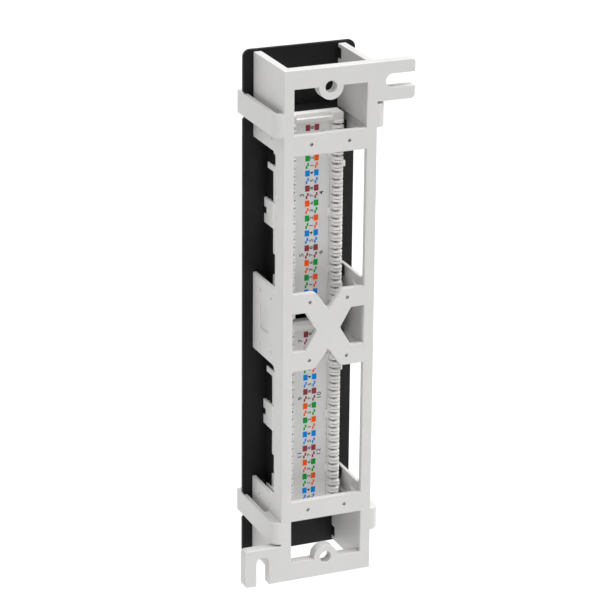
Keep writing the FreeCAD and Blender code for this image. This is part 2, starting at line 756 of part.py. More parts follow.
def port_jack(number_text, height):
    """Jack of one port: body behind the plate, nose through it, plug cavity and spring grooves."""
    body = new_body(f"port_jack_{number_text}", height)
    add(body, "housing", "board_front", "jack_shoulder",
        [rectangle("-jack_width / 2", "jack_width / 2", "-jack_half", "jack_half")])
    add(body, "nose", "jack_shoulder", "jack_front",
        [rectangle("-nose_width / 2", "nose_width / 2", "-nose_height / 2", "nose_height / 2")])
    posts = [("post_offset", f"{side}post_spacing / 2", "post_radius") for side in ("", "-")]
    add(body, "posts", "board_rear", "board_front", circles=posts)
    upper_half = [
        ("key_slot_high", "key_slot_height / 2"), ("key_high", "key_slot_height / 2"),
        ("key_high", "key_height / 2"), ("port_high", "key_height / 2"),
        ("port_high", "port_height / 2"), ("port_low", "port_height / 2"),
    ]
    lower_half = [(across, f"-{up}") for across, up in reversed(upper_half)]
    cut(body, "plug_cavity", "port_bottom", "jack_front", [upper_half + lower_half])
    lowest = "-spring_pitch * (spring_count - 1) / 2"
    groove = cut(body, "spring_groove", "board_front", "groove_end", [rectangle(
        "groove_back", "port_low", f"{lowest} - spring_groove / 2", f"{lowest} + spring_groove / 2")])
    repeat_up(body, "spring_grooves", [groove], "spring_pitch", "spring_count")
    return body


def jack_contacts(number_text, height):
    """Spring wires of one jack: pins through the board, bent back into the plug cavity."""
    body = new_body(f"jack_contacts_{number_text}", height)
    wire = plan_view([
        ("spring_back", "board_rear"), ("spring_front", "board_rear"),
        ("spring_front", "spring_top - 2 * spring_thick"),
        ("spring_front + spring_free_reach - spring_thick", "spring_top - spring_free_length"),
        ("spring_front + spring_free_reach", "spring_top - spring_free_length + spring_thick / 2"),
        ("spring_front", "spring_top"), ("spring_back", "spring_top - spring_thick / 2"),
    ])
    lowest = "-spring_pitch * (spring_count - 1) / 2"
    spring = add(body, "spring", f"{lowest} - spring_thick / 2", f"{lowest} + spring_thick / 2", [wire],
                 plane="XY_Plane")
    repeat_up(body, "springs", [spring], "spring_pitch", "spring_count")
    return body


def build_parts():
    """Build every sub-part."""
    parts = [mounting_bracket(), faceplate()]
    port = 0
    for place, centre in MODULES.items():
        parts += [circuit_board(place, centre), punch_block(place, centre), wiring_label(place, centre)]
        parts += [punch_contacts(place, centre, "right", ""), punch_contacts(place, centre, "left", "-")]
        for index in range(PORTS_PER_MODULE):
            port += 1
            height = port_height_of(centre, index)
            parts += [port_jack(f"{port:02d}", height), jack_contacts(f"{port:02d}", height)]
    return parts


def write_parts(parts):
    """Check the document and write one file for each sub-part."""
    doc.recompute()
    failed = [item.Label for item in doc.Objects if {"Invalid", "Error"} & set(item.State)]
    if failed:
        raise RuntimeError("failed objects: " + ", ".join(failed))
    for body in parts:
        if body.Shape.isNull() or not body.Shape.isValid():
            raise RuntimeError(f"bad shape: {body.Label}")
    os.makedirs("parts", exist_ok=True)
    for body in parts:
        body.Shape.exportStep(f"parts/{body.Label}.step")
        print(body.Label, len(body.Shape.Solids), round(body.Shape.Volume, 2))


fill_sheet()
write_parts(build_parts())
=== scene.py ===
"""Looks of the wall mount patch panel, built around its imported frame."""

import logging
import math
from dataclasses import dataclass, field
from enum import Enum

import bmesh
import bpy
import numpy as np
from mathutils import Matrix, Vector


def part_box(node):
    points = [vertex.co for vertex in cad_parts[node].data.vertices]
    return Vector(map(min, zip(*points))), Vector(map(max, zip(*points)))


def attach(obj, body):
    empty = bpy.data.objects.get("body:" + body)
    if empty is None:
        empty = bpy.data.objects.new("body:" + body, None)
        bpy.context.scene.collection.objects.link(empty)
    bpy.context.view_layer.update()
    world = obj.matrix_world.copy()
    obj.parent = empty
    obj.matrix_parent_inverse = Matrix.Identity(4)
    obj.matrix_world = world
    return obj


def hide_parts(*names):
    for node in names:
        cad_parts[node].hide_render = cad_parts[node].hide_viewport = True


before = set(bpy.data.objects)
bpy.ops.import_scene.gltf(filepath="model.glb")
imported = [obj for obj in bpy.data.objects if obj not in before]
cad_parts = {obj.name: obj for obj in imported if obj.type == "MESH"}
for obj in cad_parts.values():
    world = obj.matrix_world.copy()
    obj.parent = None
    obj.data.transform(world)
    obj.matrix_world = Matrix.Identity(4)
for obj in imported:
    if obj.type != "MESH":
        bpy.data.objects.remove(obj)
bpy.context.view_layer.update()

LOG = logging.getLogger("patch_panel")
MM = 0.001
BODY = "root"
PORTS = range(1, 13)

# Merging and rounding of copied meshes
MERGE_DISTANCE = 2e-6
TINY = 1e-9
FLAT_ANGLE = math.radians(0.5)
SHARP_ANGLE = math.radians(25.0)
BEND_ANGLE = math.radians(30.0)
SMOOTH_ANGLE = math.radians(35.0)
SHARP_RING = 3.0 * MM
SMALLEST_WEIGHT = 0.12
SHARED_GAP = 0.42
FREE_GAP = 0.85
ALIKE_WAYS = 0.5

# Noise of the finishes
NOISE_LOW = 0.3
NOISE_HIGH = 0.7
PLAIN_DETAIL = 1.0
FINE_DETAIL = 2.0
SOFT_DETAIL = 3.0

# Printing
DIGIT_STEPS = 3
SUNK_SHARE = 1 / 3


class Ink(Enum):
    """Inks of the printed strips and numerals, as linear colours."""

    BLUE = (0.002, 0.245, 0.720)
    GREEN = (0.016, 0.340, 0.052)
    ORANGE = (0.950, 0.110, 0.012)
    BROWN = (0.290, 0.050, 0.060)
    BLACK = (0.045, 0.045, 0.047)
    WHITE = (0.800, 0.800, 0.800)


class Mark(Enum):
    """Kinds of printed wire mark."""

    SOLID = "solid"
    STRIPED = "striped"


class NodeSketch:
    """Small helper that lays out the nodes of one material."""

    def __init__(self, name: str) -> None:
        """Start an empty material.

        Args:
            name: Name of the material.
        """
        self.material = bpy.data.materials.new(name)
        self.material.use_nodes = True
        self.tree = self.material.node_tree
        self.shader = self.tree.nodes["Principled BSDF"]
        self.coords = self.tree.nodes.new("ShaderNodeTexCoord")

    def noise(self, size: float, detail: float = SOFT_DETAIL,
              stretch: tuple[float, float, float] = (1.0, 1.0, 1.0)) -> bpy.types.NodeSocket:
        """Noise over Object coordinates.

        Args:
            size: Size of its spots in metres.
            detail: Number of finer layers.
            stretch: Scale of the coordinates along each axis.

        Returns:
            The noise's value socket.
        """
        mapping = self.tree.nodes.new("ShaderNodeMapping")
        mapping.inputs["Scale"].default_value = stretch
        self.tree.links.new(self.coords.outputs["Object"], mapping.inputs["Vector"])
        noise = self.tree.nodes.new("ShaderNodeTexNoise")
        noise.inputs["Scale"].default_value = 1.0 / size
        noise.inputs["Detail"].default_value = detail
        self.tree.links.new(mapping.outputs["Vector"], noise.inputs["Vector"])
        return noise.outputs["Fac"]

    def spread(self, value: bpy.types.NodeSocket, low: float, high: float) -> bpy.types.NodeSocket:
        """Stretch the middle of a noise over a range.

        Args:
            value: Noise value.
            low: Result at the noise's low side.
            high: Result at its high side.

        Returns:
            The stretched value.
        """
        node = self.tree.nodes.new("ShaderNodeMapRange")
        node.inputs["From Min"].default_value = NOISE_LOW
        node.inputs["From Max"].default_value = NOISE_HIGH
        node.inputs["To Min"].default_value = low
        node.inputs["To Max"].default_value = high
        self.tree.links.new(value, node.inputs["Value"])
        return node.outputs["Result"]

    def blend(self, value: bpy.types.NodeSocket, first: tuple[float, ...], second: tuple[float, ...]
              ) -> bpy.types.NodeSocket:
        """Blend two colours by a noise.

        Args:
            value: Noise value.
            first: Colour at its low side.
            second: Colour at its high side.

        Returns:
            The colour socket.
        """
        ramp = self.tree.nodes.new("ShaderNodeValToRGB")
        ramp.color_ramp.elements[0].position = NOISE_LOW
        ramp.color_ramp.elements[0].color = (*first, 1.0)
        ramp.color_ramp.elements[1].position = NOISE_HIGH
        ramp.color_ramp.elements[1].color = (*second, 1.0)
        self.tree.links.new(value, ramp.inputs["Fac"])
        return ramp.outputs["Color"]

    def bump(self, value: bpy.types.NodeSocket, strength: float, distance: float) -> None:
        """Raise the surface by a noise.

        Args:
            value: Height.
            strength: Share of the effect.
            distance: Height in metres of a value of one.
        """
        node = self.tree.nodes.new("ShaderNodeBump")
        node.inputs["Strength"].default_value = strength
        node.inputs["Distance"].default_value = distance
        self.tree.links.new(value, node.inputs["Height"])
        self.tree.links.new(node.outputs["Normal"], self.shader.inputs["Normal"])

    def wire(self, value: bpy.types.NodeSocket, socket: str) -> None:
        """Feed one socket of the shader."""
        self.tree.links.new(value, self.shader.inputs[socket])


@dataclass(frozen=True)
class MouldedPlastic:
    """Moulded plastic: a soft colour drift, a fine spark-eroded grain and uneven gloss."""

    name: str
    light: tuple[float, float, float]
    dark: tuple[float, float, float]
    gloss: tuple[float, float]
    mirror: float = 0.5
    grain: float = 0.35 * MM
    grain_height: float = 0.03 * MM
    relief: float = 0.25
    drift: float = 22.0 * MM
    gloss_drift: float = 6.0 * MM

    def material(self) -> bpy.types.Material:
        """Make the finish.

        Returns:
            The material.
        """
        sketch = NodeSketch(self.name)
        sketch.shader.inputs["Specular IOR Level"].default_value = self.mirror
        sketch.wire(sketch.blend(sketch.noise(self.drift), self.dark, self.light), "Base Color")
        sketch.wire(sketch.spread(sketch.noise(self.gloss_drift), *self.gloss), "Roughness")
        sketch.bump(sketch.noise(self.grain, FINE_DETAIL), self.relief, self.grain_height)
        return sketch.material


@dataclass(frozen=True)
class PlatedMetal:
    """Plated contact metal with drawn lines along the strip."""

    name: str
    light: tuple[float, float, float]
    dark: tuple[float, float, float]
    gloss: tuple[float, float] = (0.22, 0.38)
    drift: float = 1.5 * MM
    line: float = 0.2 * MM
    scratch: float = 0.15 * MM
    scratch_height: float = 0.01 * MM
    relief: float = 0.15
    drawn: tuple[float, float, float] = (1.0, 0.1, 1.0)

    def material(self) -> bpy.types.Material:
        """Make the finish.

        Returns:
            The material.
        """
        sketch = NodeSketch(self.name)
        sketch.shader.inputs["Metallic"].default_value = 1.0
        sketch.wire(sketch.blend(sketch.noise(self.drift), self.dark, self.light), "Base Color")
        lines = sketch.noise(self.line, FINE_DETAIL, self.drawn)
        sketch.wire(sketch.spread(lines, *self.gloss), "Roughness")
        scratches = sketch.noise(self.scratch, FINE_DETAIL, self.drawn)
        sketch.bump(scratches, self.relief, self.scratch_height)
        return sketch.material


@dataclass(frozen=True)
class PrintedPaper:
    """Coated paper strip with faint fibres."""

    name: str
    light: tuple[float, float, float]
    dark: tuple[float, float, float]
    gloss: tuple[float, float] = (0.50, 0.62)
    drift: float = 9.0 * MM
    gloss_drift: float = 2.0 * MM
    fibre: float = 0.25 * MM
    fibre_height: float = 0.02 * MM
    relief: float = 0.2
    laid: tuple[float, float, float] = (1.0, 1.0, 0.3)

    def material(self) -> bpy.types.Material:
        """Make the finish.

        Returns:
            The material.
        """
        sketch = NodeSketch(self.name)
        sketch.wire(sketch.blend(sketch.noise(self.drift), self.dark, self.light), "Base Color")
        sketch.wire(sketch.spread(sketch.noise(self.gloss_drift), *self.gloss), "Roughness")
        sketch.bump(sketch.noise(self.fibre, stretch=self.laid), self.relief, self.fibre_height)
        return sketch.material


@dataclass(frozen=True)
class PrintInk:
    """Screen ink: slightly mottled, with only a faint sheen."""

    ink: Ink
    mirror: float = 0.04
    gloss: tuple[float, float] = (0.38, 0.50)
    fading: float = 1.12
    haze: float = 0.004
    mottle: float = 0.6 * MM
    gloss_drift: float = 0.8 * MM
    grain: float = 0.2 * MM
    grain_height: float = 0.01 * MM
    relief: float = 0.1

    def material(self) -> bpy.types.Material:
        """Make the finish.

        Returns:
            The material.
        """
        sketch = NodeSketch(f"ink_{self.ink.name.lower()}")
        sketch.shader.inputs["Specular IOR Level"].default_value = self.mirror
        pale = tuple(min(1.0, self.fading * part + self.haze) for part in self.ink.value)
        sketch.wire(sketch.blend(sketch.noise(self.mottle), self.ink.value, pale), "Base Color")
        sketch.wire(sketch.spread(sketch.noise(self.gloss_drift), *self.gloss), "Roughness")
        sketch.bump(sketch.noise(self.grain, FINE_DETAIL), self.relief, self.grain_height)
        return sketch.material


@dataclass(frozen=True)
class SolderMask:
    """Green board lacquer over copper tracks that run along the board."""

    name: str
    light: tuple[float, float, float] = (0.020, 0.190, 0.070)
    dark: tuple[float, float, float] = (0.010, 0.100, 0.040)
    gloss: tuple[float, float] = (0.20, 0.32)
    track: float = 1.2 * MM
    track_height: float = 0.03 * MM
    gloss_drift: float = 3.0 * MM
    relief: float = 0.3
    run: tuple[float, float, float] = (1.0, 1.0, 0.12)

    def material(self) -> bpy.types.Material:
        """Make the finish.

        Returns:
            The material.
        """
        sketch = NodeSketch(self.name)
        tracks = sketch.noise(self.track, PLAIN_DETAIL, self.run)
        sketch.wire(sketch.blend(tracks, self.dark, self.light), "Base Color")
        sketch.wire(sketch.spread(sketch.noise(self.gloss_drift), *self.gloss), "Roughness")
        sketch.bump(tracks, self.relief, self.track_height)
        return sketch.material


def pick(*pieces: bpy.types.Object) -> None:
    """Select only these pieces and make the first one active.

    Args:
        pieces: Pieces to select.
    """
    bpy.ops.object.select_all(action="DESELECT")
    for piece in pieces:
        piece.select_set(True)
    bpy.context.view_layer.objects.active = pieces[0]


def copy_of_node(node: str, name: str) -> bpy.types.Object:
    """Copy a CAD node as a new piece with its own mesh, merged and with its flat triangles joined.

    Args:
        node: Name of the node.
        name: Name of the copy.

    Returns:
        The copy, not yet riding on a body.
    """
    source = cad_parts[node]
    piece = bpy.data.objects.new(name, source.data.copy())
    bpy.context.scene.collection.objects.link(piece)
    pick(piece)
    bpy.ops.object.mode_set(mode="EDIT")
    bpy.ops.mesh.select_all(action="SELECT")
    bpy.ops.mesh.remove_doubles(threshold=MERGE_DISTANCE)
    bpy.ops.mesh.customdata_custom_splitnormals_clear()
    bpy.ops.mesh.dissolve_limited(angle_limit=FLAT_ANGLE)
    bpy.ops.object.mode_set(mode="OBJECT")
    return piece


def segment_gaps(starts: np.ndarray, ends: np.ndarray, skipped: np.ndarray, rounded: np.ndarray
                 ) -> np.ndarray:
    """Room that each segment of a face has towards the others.

    Args:
        starts: Start points of the segments.
        ends: End points of the segments.
        skipped: Pairs of segments that don't limit each other.
        rounded: Whether each segment is rounded itself and so takes its half of the gap.

    Returns:
        One distance for each segment.
    """
    along = ends - starts
    squares = np.maximum((along ** 2).sum(1), TINY ** 2)
    nearest = np.full((len(starts), len(starts)), np.inf)
    for points in (starts, ends):
        offsets = points[:, None, :] - starts[None, :, :]
        share = np.clip((offsets * along[None, :, :]).sum(2) / squares[None, :], 0.0, 1.0)
        gaps = np.linalg.norm(offsets - share[:, :, None] * along[None, :, :], axis=2)
        nearest = np.minimum(nearest, np.minimum(gaps, gaps.T))
    nearest[skipped] = np.inf
    return (nearest * np.where(rounded, SHARED_GAP, FREE_GAP)[None, :]).min(1)


def edge_runs(shape: bmesh.types.BMesh, convex: np.ndarray) -> np.ndarray:
    """Number the runs of outer edges that follow each other in a smooth bend.

    Args:
        shape: Merged mesh.
        convex: Whether each edge is a sharp outer edge.

    Returns:
        One run number for each edge.
    """
    runs = np.arange(len(shape.edges))
    for corner in shape.verts:
        edges = [edge for edge in corner.link_edges if convex[edge.index]]
        if len(edges) != 2:
            continue
        ways = [(edge.other_vert(corner).co - corner.co).normalized() for edge in edges]
        if ways[0].dot(ways[1]) < -math.cos(BEND_ANGLE):
            first, second = (runs[edge.index] for edge in edges)
            runs[runs == second] = first
    return runs


def rounding_weights(mesh: bpy.types.Mesh, width: float) -> np.ndarray:
    """Share of the full rounding that each sharp outer edge has room for.

    Args:
        mesh: Mesh with merged corners.
        width: Full width of the rounding in metres.

    Returns:
        One weight for each edge, zero where the edge isn't a sharp outer one or is part of a small ring.
    """
    shape = bmesh.new()
    shape.from_mesh(mesh)
    shape.edges.ensure_lookup_table()
    sharp = np.array([len(edge.link_faces) == 2 and edge.calc_face_angle(0.0) > SHARP_ANGLE
                      for edge in shape.edges])
    convex = sharp & np.array([edge.is_convex for edge in shape.edges])
    runs = edge_runs(shape, convex)
    room = np.full(len(shape.edges), np.inf)
    for face in shape.faces:
        edges = [edge.index for edge in face.edges if sharp[edge.index]]
        if len(edges) < 2:
            continue
        corners = np.array([[corner.index for corner in shape.edges[edge].verts] for edge in edges])
        places = np.array([[tuple(corner.co) for corner in shape.edges[edge].verts] for edge in edges])
        along = places[:, 1] - places[:, 0]
        along /= np.maximum(np.linalg.norm(along, axis=1, keepdims=True), TINY)
        same_run = runs[edges][:, None] == runs[edges][None, :]
        near_bend = same_run & (np.abs(along @ along.T) > ALIKE_WAYS)
        shared = (corners[:, None, :, None] == corners[None, :, None, :]).any((2, 3))
        gaps = segment_gaps(places[:, 0], places[:, 1], shared | near_bend, convex[edges])
        room[edges] = np.minimum(room[edges], gaps)
    weights = np.where(convex, np.minimum(1.0, room / width), 0.0)
    for run in np.unique(runs[convex]):
        members = convex & (runs == run)
        corners = {corner for edge in np.flatnonzero(members) for corner in shape.edges[edge].verts}
        span = np.ptp([tuple(corner.co) for corner in corners], axis=0).max()
        small_ring = len(corners) == members.sum() and span < SHARP_RING
        weights[members] = 0.0 if small_ring else weights[members].min()
    shape.free()
    return np.where(weights > SMALLEST_WEIGHT, weights, 0.0)


def round_edges(piece: bpy.types.Object, width: float, segments: int) -> bpy.types.Object:
    """Round the sharp outer edges of a piece.

    Args:
        piece: Piece whose mesh is a merged copy of a CAD mesh.
        width: Width of the rounding in metres.
        segments: Faces across the rounding.

    Returns:
        The same piece.
    """
    pick(piece)
    weights = rounding_weights(piece.data, width)
    layer = piece.data.attributes.new("bevel_weight_edge", "FLOAT", "EDGE")
    layer.data.foreach_set("value", weights.astype(np.float32))
    bevel = piece.modifiers.new("soft_edges", "BEVEL")
    bevel.width = width
    bevel.segments = segments
    bevel.limit_method = "WEIGHT"
    bevel.use_clamp_overlap = False
    bevel.loop_slide = False
    bpy.ops.object.modifier_apply(modifier=bevel.name)
    bpy.ops.object.shade_smooth_by_angle(angle=SMOOTH_ANGLE)
    flats = piece.modifiers.new("flat_faces", "WEIGHTED_NORMAL")
    flats.keep_sharp = True
    bpy.ops.object.modifier_apply(modifier=flats.name)
    return piece


def dress(piece: bpy.types.Object, *materials: bpy.types.Material) -> None:
    """Give a piece its materials in order.

    Args:
        piece: Piece to dress.
        materials: Its materials.
    """
    piece.data.materials.clear()
    for material in materials:
        piece.data.materials.append(material)


def seat(piece: bpy.types.Object, slot: str, *nodes: str) -> None:
    """Let a piece ride on the panel and stand for CAD nodes.

    Args:
        piece: Finished piece.
        slot: Name of a material slot; not used.
        nodes: CAD nodes that it stands for.
    """
    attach(piece, BODY)
    if nodes:
        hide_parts(*nodes)
    LOG.info("%s: %d faces", piece.name, len(piece.data.polygons))


def raised_patch(width: float, height: float, lean: float, thickness: float) -> bpy.types.Object:
    """Flat printed patch in the XZ plane, centred on the origin and raised towards +Y.

    Args:
        width: Width along X.
        height: Height along Z.
        lean: Shift of its top edge along X.
        thickness: Height of the ink.

    Returns:
        The patch.
    """
    bpy.ops.object.select_all(action="DESELECT")
    bpy.ops.mesh.primitive_plane_add(size=1.0, rotation=(-math.pi / 2, 0.0, 0.0))
    patch = bpy.context.active_object
    patch.scale = (width, height, 1.0)
    bpy.ops.object.transform_apply(location=True, rotation=True, scale=True)
    for corner in patch.data.vertices:
        corner.select = corner.co.z > 0
    bpy.ops.object.mode_set(mode="EDIT")
    bpy.ops.transform.translate(value=(lean, 0.0, 0.0))
    bpy.ops.mesh.select_all(action="SELECT")
    bpy.ops.mesh.extrude_region_move(TRANSFORM_OT_translate={"value": (0.0, thickness, 0.0)})
    bpy.ops.mesh.select_all(action="SELECT")
    bpy.ops.mesh.normals_make_consistent(inside=False)
    bpy.ops.object.mode_set(mode="OBJECT")
    return patch


def numeral(text: str, size: float, weight: float, thickness: float, turn: Matrix, place: Vector
            ) -> bpy.types.Object:
    """Printed numeral as a thin mesh.

    Args:
        text: Digits to print.
        size: Size of the type in metres.
        weight: Growth of its strokes on each side.
        thickness: Height of the ink.
        turn: Rotation of the type.
        place: Centre of the numeral.

    Returns:
        The numeral.
    """
    bpy.ops.object.select_all(action="DESELECT")
    bpy.ops.object.text_add()
    digits = bpy.context.active_object
    digits.data.body = text
    digits.data.size = size
    digits.data.align_x = "CENTER"
    digits.data.align_y = "CENTER"
    digits.data.offset = weight
    digits.data.extrude = thickness / 2
    digits.data.resolution_u = DIGIT_STEPS
    bpy.ops.object.convert(target="MESH")
    digits = bpy.context.active_object
    digits.matrix_world = Matrix.Translation(place) @ turn.to_4x4()
    bpy.ops.object.transform_apply(location=True, rotation=True, scale=True)
    bpy.ops.object.mode_set(mode="EDIT")
    bpy.ops.mesh.select_all(action="SELECT")
    bpy.ops.mesh.remove_doubles(threshold=MERGE_DISTANCE)
    bpy.ops.object.mode_set(mode="OBJECT")
    return digits


def join(pieces: list[bpy.types.Object], name: str) -> bpy.types.Object:
    """Join pieces into one.

    Args:
        pieces: Pieces to join.
        name: Name of the result.

    Returns:
        The joined piece.
    """
    pick(*pieces)
    bpy.ops.object.join()
    bpy.ops.object.transform_apply(location=True, rotation=True, scale=True)
    joined = bpy.context.active_object
    joined.name = name
    return joined


@dataclass
class WallBracket:
    """White wall bracket: the CAD moulding with rounded edges and drawn-in ejector pits."""

    edge: float = 0.45 * MM
    segments: int = 3
    pit_across: float = 9.4 * MM
    pit_heights: tuple[float, ...] = (14.45 * MM, 90.45 * MM)
    pit_reach: float = 1.3 * MM
    pit_depth: float = 0.9 * MM
    pit_narrowing: float = 0.74
    pit_deepening: float = 2.1
    finish: MouldedPlastic = MouldedPlastic(
        "white_bracket_plastic", (0.655, 0.650, 0.638), (0.632, 0.628, 0.617), (0.40, 0.52))

    def build(self) -> None:
        """Build and dress the bracket."""
        bracket = copy_of_node("mounting_bracket", "bracket_moulding")
        self.draw_in_pits(bracket)
        round_edges(bracket, self.edge, self.segments)
        dress(bracket, self.finish.material())
        seat(bracket, "bracket_white", "mounting_bracket")

    def draw_in_pits(self, bracket: bpy.types.Object) -> None:
        """Narrow and deepen the ejector pits of the wall face.

        Args:
            bracket: Bracket with a merged mesh.
        """
        heights = [sign * height for height in self.pit_heights for sign in (-1, 1)]
        centres = [Vector((sign * self.pit_across, 0.0, height)) for sign in (-1, 1) for height in heights]
        for centre in centres:
            near = [corner for corner in bracket.data.vertices
                    if corner.co.y > -self.pit_depth and (corner.co - centre).xz.length < self.pit_reach]
            for corner in near:
                offset = corner.co - centre
                corner.co = centre + offset * self.pit_narrowing
                corner.co.y = offset.y * self.pit_deepening


@dataclass
class Faceplate:
    """Black faceplate with rounded edges and printed port numerals."""

    edge: float = 0.35 * MM
    segments: int = 3
    numeral_size: float = 4.6 * MM
    numeral_weight: float = 0.05 * MM
    numeral_across: float = 12.0 * MM
    ink_height: float = 0.06 * MM
    finish: MouldedPlastic = MouldedPlastic(
        "black_plate_plastic", (0.011, 0.011, 0.012), (0.009, 0.009, 0.010), (0.42, 0.55), 0.20, relief=0.4)

    def build(self) -> None:
        """Build and dress the plate and its numerals."""
        plate = round_edges(copy_of_node("faceplate", "faceplate_moulding"), self.edge, self.segments)
        dress(plate, self.finish.material())
        seat(plate, "plate_black", "faceplate")
        self.print_numerals()

    def print_numerals(self) -> None:
        """Print each port's numeral beside it on the front of the plate."""
        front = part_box("faceplate")[0].y
        turn = Matrix(((1, 0, 0), (0, 0, -1), (0, 1, 0)))
        digits = []
        for port in PORTS:
            low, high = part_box(f"port_jack_{port:02d}")
            place = Vector((self.numeral_across, front, (low.z + high.z) / 2))
            digits.append(
                numeral(str(port), self.numeral_size, self.numeral_weight, self.ink_height, turn, place))
        numerals = join(digits, "port_numerals")
        dress(numerals, PrintInk(Ink.WHITE).material())
        seat(numerals, "label_paper")


@dataclass
class PortJacks:
    """Black jacks and their gold springs."""

    edge: float = 0.22 * MM
    wire_edge: float = 0.11 * MM
    segments: int = 2
    housing: MouldedPlastic = MouldedPlastic(
        "black_jack_plastic", (0.020, 0.020, 0.022), (0.014, 0.014, 0.016), (0.28, 0.40), relief=0.15)
    springs: PlatedMetal = PlatedMetal("gold_spring_wire", (0.86, 0.62, 0.24), (0.74, 0.50, 0.17))

    def build(self) -> None:
        """Build and dress every jack and its springs."""
        plastic = self.housing.material()
        gold = self.springs.material()
        for port in PORTS:
            jack = round_edges(copy_of_node(f"port_jack_{port:02d}", f"jack_housing_{port:02d}"),
                               self.edge, self.segments)
            dress(jack, plastic)
            seat(jack, "jack_black", f"port_jack_{port:02d}")
            wires = round_edges(copy_of_node(f"jack_contacts_{port:02d}", f"spring_wires_{port:02d}"),
                                self.wire_edge, self.segments)
            dress(wires, gold)
            seat(wires, "spring_gold", f"jack_contacts_{port:02d}")


@dataclass(frozen=True)
class WireRow:
    """One printed row of a wiring strip."""

    pin: str
    mark: Mark
    left: Ink
    right: Ink


WIRE_ROWS: tuple[WireRow, ...] = (
    WireRow("8", Mark.SOLID, Ink.BROWN, Ink.BROWN),
    WireRow("7", Mark.STRIPED, Ink.BROWN, Ink.BROWN),
    WireRow("6", Mark.SOLID, Ink.ORANGE, Ink.GREEN),
    WireRow("3", Mark.STRIPED, Ink.ORANGE, Ink.GREEN),
    WireRow("2", Mark.SOLID, Ink.GREEN, Ink.ORANGE),
    WireRow("1", Mark.STRIPED, Ink.GREEN, Ink.ORANGE),
    WireRow("4", Mark.SOLID, Ink.BLUE, Ink.BLUE),
    WireRow("5", Mark.STRIPED, Ink.BLUE, Ink.BLUE),
)
PRINT_INKS: tuple[Ink, ...] = (Ink.BLUE, Ink.GREEN, Ink.ORANGE, Ink.BROWN, Ink.BLACK)


@dataclass
class WiringStrip:
    """Printed strip of one block: the CAD strip with its wire marks and numerals."""

    place: str
    first_port: int
    groups: int = 3
    numbered_pin: str = "7"
    row_pitch: float = 3.66 * MM
    first_row: float = 42.1 * MM
    left_marks: float = 2.0 * MM
    right_marks: float = -2.45 * MM
    pin_column: float = -0.25 * MM
    left_ports: float = 4.6 * MM
    right_ports: float = -5.2 * MM
    left_rise: float = 0.6 * MM
    right_rise: float = 0.9 * MM
    mark_width: float = 2.3 * MM
    mark_height: float = 2.95 * MM
    stroke_width: float = 0.85 * MM
    stroke_height: float = 1.55 * MM
    stroke_lean: float = -0.65 * MM
    stroke_gap: float = 0.72 * MM
    stroke_step: float = 1.35 * MM
    stroke_shift: float = 0.4 * MM
    ink_height: float = 0.05 * MM
    pin_size: float = 2.4 * MM
    port_size: float = 2.9 * MM
    digit_weight: float = 0.03 * MM
    digit_stretch: float = 1.3
    paper: PrintedPaper = PrintedPaper("wiring_strip_paper", (0.76, 0.76, 0.75), (0.73, 0.73, 0.72))
    parts: list[bpy.types.Object] = field(default_factory=list)

    def build(self, inks: dict[Ink, bpy.types.Material]) -> None:
        """Dress the strip and print it.

        Args:
            inks: Material of each ink.
        """
        node = f"wiring_label_{self.place}"
        dress(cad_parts[node], self.paper.material())
        low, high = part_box(node)
        centre = (low.z + high.z) / 2
        face = high.y
        for index in range(self.groups * len(WIRE_ROWS)):
            row = WIRE_ROWS[index % len(WIRE_ROWS)]
            height = centre + self.first_row - index * self.row_pitch
            self.print_mark(row.mark, row.left, self.left_marks, face, height, inks)
            self.print_mark(row.mark, row.right, self.right_marks, face, height, inks)
            self.print_digits(row.pin, self.pin_size, self.pin_column, face, height, inks)
            if row.pin == self.numbered_pin:
                port = self.first_port + 2 * (index // len(WIRE_ROWS))
                for number, across, rise in ((port, self.left_ports, self.left_rise),
                                             (port + 1, self.right_ports, self.right_rise)):
                    self.print_digits(str(number), self.port_size, across, face, height + rise, inks)
        print_piece = join(self.parts, f"strip_print_{self.place}")
        seat(print_piece, "label_paper")

    def print_mark(self, mark: Mark, ink: Ink, across: float, face: float, height: float,
                   inks: dict[Ink, bpy.types.Material]) -> None:
        """Print one wire mark.

        Args:
            mark: Kind of mark.
            ink: Its ink.
            across: Its place along X.
            face: Y of the paper's face.
            height: Its height.
            inks: Material of each ink.
        """
        if mark is Mark.SOLID:
            patches = [(raised_patch(self.mark_width, self.mark_height, 0.0, self.ink_height), 0.0)]
        else:
            stroke = (self.stroke_width, self.stroke_height, self.stroke_lean, self.ink_height)
            patches = [(raised_patch(*stroke), side) for side in (-0.5, 0.5)]
        for patch, side in patches:
            centring = self.stroke_shift - self.stroke_lean / 2
            shift = side * self.stroke_gap + centring if side else 0.0
            sunk = face - self.ink_height * SUNK_SHARE
            patch.location = (across + shift, sunk, height - side * self.stroke_step)
            dress(patch, inks[ink])
            self.parts.append(patch)

    def print_digits(self, text: str, size: float, across: float, face: float, height: float,
                     inks: dict[Ink, bpy.types.Material]) -> None:
        """Print digits that read upwards.

        Args:
            text: Digits.
            size: Size of the type.
            across: Place along X.
            face: Y of the paper's face.
            height: Height of the middle.
            inks: Material of each ink.
        """
        stretch = Matrix.Diagonal((self.digit_stretch, 1.0, 1.0))
        turn = Matrix(((0, 1, 0), (0, 0, 1), (1, 0, 0))) @ stretch
        digits = numeral(text, size, self.digit_weight, self.ink_height, turn, Vector((across, face, height)))
        dress(digits, inks[Ink.BLACK])
        self.parts.append(digits)


